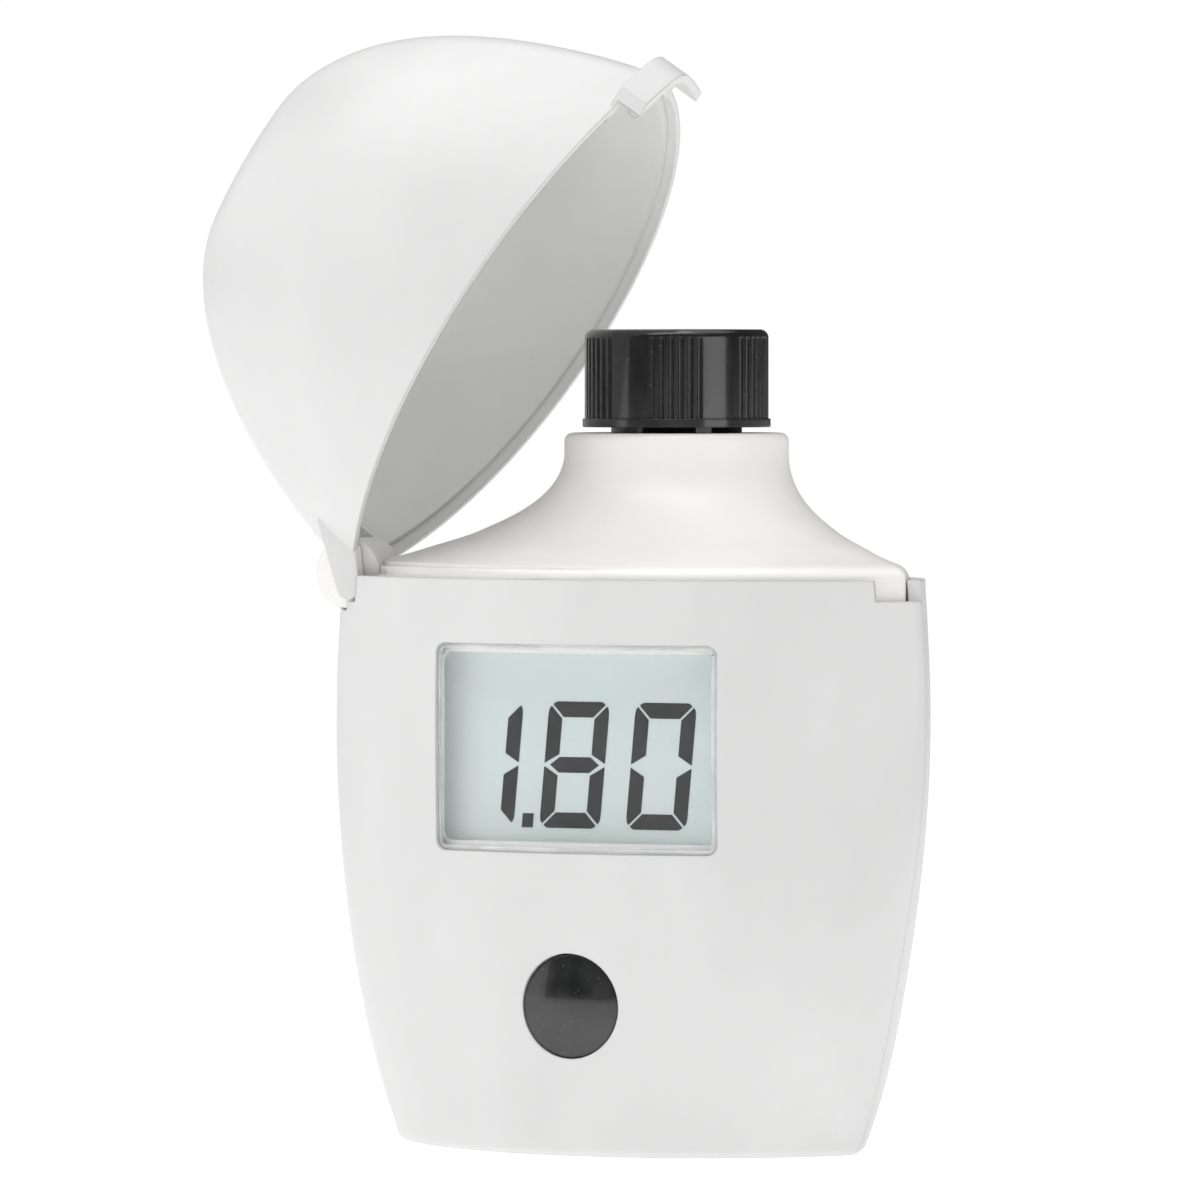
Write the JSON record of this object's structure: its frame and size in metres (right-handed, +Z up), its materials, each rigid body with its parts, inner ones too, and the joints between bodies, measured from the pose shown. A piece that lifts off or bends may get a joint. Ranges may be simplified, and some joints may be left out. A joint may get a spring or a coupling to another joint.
{
  "type": "portable colorimeter",
  "caption": "Pocket colorimeter with a domed flip-up lid, a display, a push button and a screw-capped sample cuvette standing in a collar on top.",
  "frame": {"origin": "on the flat base, on the plane where the front and rear shells meet, midway between the sides", "axes": "+Z up, away from the base; +X to the right as seen from the front, towards the latch; -Y to the front, where the display faces"},
  "size_m": [0.0756, 0.0374, 0.1047],
  "materials": {
    "shell": "fine satin grain, near white",
    "insert": "smooth satin, warm white",
    "lid": "fine satin grain, near white",
    "cover": "fine satin grain, near white",
    "window": "clear polished pane",
    "frame_white": "white",
    "display": "grey-green liquid crystal display with dark figures",
    "strip_rubber": "grey layered contact strip",
    "board": "green solder mask",
    "chip": "black moulded",
    "components": "small brown and grey components",
    "screw_steel": "zinc plated",
    "pin_steel": "ground",
    "switch_body": "black",
    "plunger": "black",
    "button": "glossy black",
    "holder": "light-tight matt black",
    "lamp_glass": "clear epoxy",
    "filter_glass": "coated",
    "detector_can": "dark resin",
    "cuvette_glass": "clear glass",
    "liner": "pale soft liner",
    "cap": "glossy black, ribbed",
    "battery": "plain sleeve",
    "contact_metal": "nickel plated"
  },
  "bodies": {
    "casing": {"front_shell": "shell", "rear_shell": "shell", "top_insert": "insert", "hinge_pin": "pin_steel", "display_window": "window", "display_frame": "frame_white", "display_glass": "display", "display_strips": "strip_rubber", "circuit_board": "board", "processor": "chip", "board_parts": "components", "board_screws": "screw_steel", "key_switch": "switch_body", "cuvette_holder": "holder", "holder_screws": "screw_steel", "lamp": "lamp_glass", "interference_filter": "filter_glass", "photodetector": "detector_can", "battery": "battery", "battery_spring": "contact_metal", "battery_plate": "contact_metal", "case_screws": "screw_steel"},
    "lid": {"lid": "lid"},
    "button": {"push_button": "button"},
    "plunger": {"switch_plunger": "plunger"},
    "cover": {"battery_cover": "cover"},
    "cuvette": {"cuvette": "cuvette_glass"},
    "liner": {"cap_liner": "liner"},
    "cap": {"cuvette_cap": "cap"}
  },
  "joints": [
    {"name": "lid_hinge", "type": "hinge", "parent": "casing", "child": "lid", "pos_m": [-0.0277, 0, 0.0525], "axis": [0, -1, 0], "range_deg": [-56.4, 54]},
    {"name": "button_press", "type": "slide", "parent": "casing", "child": "button", "axis": [0, 1, 0], "range_m": [0, 0.0004], "stiffness_N_per_m": 4000, "springref_m": -0.0002},
    {"name": "switch_press", "type": "slide", "parent": "casing", "child": "plunger", "axis": [0, 1, 0], "range_m": [0, 0.0004]},
    {"name": "cuvette_lift", "type": "slide", "parent": "casing", "child": "cuvette", "axis": [0, 0, 1], "range_m": [0, 0.0115]},
    {"name": "cap_rise", "type": "slide", "parent": "cuvette", "child": "liner", "axis": [0, 0, 1], "range_m": [0, 0.00317]},
    {"name": "cap_turn", "type": "hinge", "parent": "liner", "child": "cap", "pos_m": [0, 0.0106, 0.0723], "axis": [0, 0, 1], "range_deg": [0, 540]},
    {"name": "cover_slide", "type": "slide", "parent": "casing", "child": "cover", "axis": [0, 1, 0], "range_m": [0, 0.015]}
  ],
  "couplings": [
    {"joint": "switch_press", "follows": "button_press", "ratio": 1},
    {"joint": "cap_turn", "follows": "cap_rise", "rad_per_m": 2967}
  ]
}
